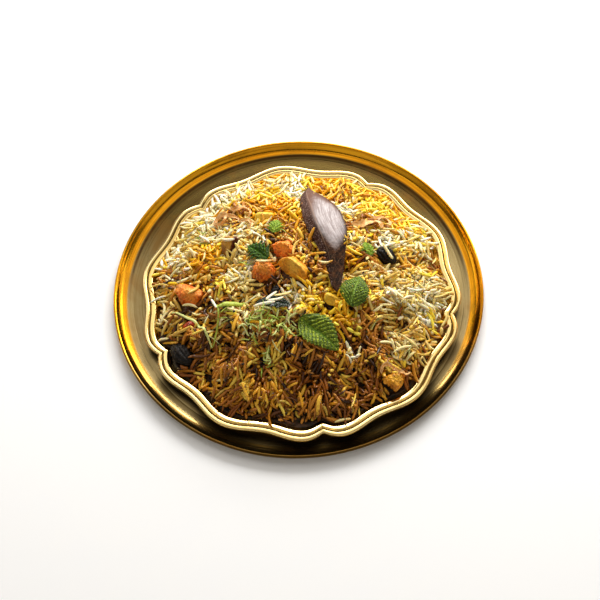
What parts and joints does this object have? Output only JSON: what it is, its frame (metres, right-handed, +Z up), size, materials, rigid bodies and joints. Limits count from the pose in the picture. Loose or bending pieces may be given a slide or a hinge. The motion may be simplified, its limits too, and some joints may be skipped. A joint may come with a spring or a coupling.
{
  "type": "biryani on a brass plate",
  "caption": "Heaped vegetable biryani with a bay leaf, mint and spices in a scalloped brass plate, standing on a round brass tray with a raised lip.",
  "frame": {"origin": "centre of the tray's underside, on the table", "axes": "+Z up; -Y towards the diner, who sits at the near side; +X to the diner's right"},
  "size_m": [0.334, 0.334, 0.0598],
  "materials": {
    "brass": "brushed and polished, a little tarnished",
    "rice": "cooked long-grain rice, white, saffron yellow and spiced brown",
    "bay_leaf": "dark brown cooked leaf with a soft sheen",
    "mint": "fresh crinkled leaf",
    "young_herb": "fresh light green leaf",
    "cooked_leaf": "wet dark green leaf",
    "potato": "boiled and fried potato, golden",
    "carrot": "cooked carrot, moist",
    "pepper": "cooked yellow pepper, moist",
    "chilli": "red chilli piece, moist",
    "black_cardamom": "ribbed dry pod, moist from cooking",
    "fried_onion": "caramelised, oily"
  },
  "bodies": {
    "root": {"bay_leaf": "bay_leaf", "cardamom_1": "black_cardamom", "cardamom_2": "black_cardamom", "cardamom_3": "black_cardamom", "carrot_1": "carrot", "carrot_2": "carrot", "carrot_3": "carrot", "chilli": "chilli", "cooked_leaf": "cooked_leaf", "herb_top_1": "young_herb", "herb_top_2": "young_herb", "mint_leaf_1": "mint", "mint_leaf_2": "mint", "mint_leaf_3": "mint", "onion_1": "fried_onion", "onion_2": "fried_onion", "onion_3": "fried_onion", "pepper": "pepper", "plate": "brass", "potato_1": "potato", "potato_2": "potato", "potato_3": "potato", "potato_4": "potato", "rice": "rice", "tray": "brass"}
  },
  "joints": []
}
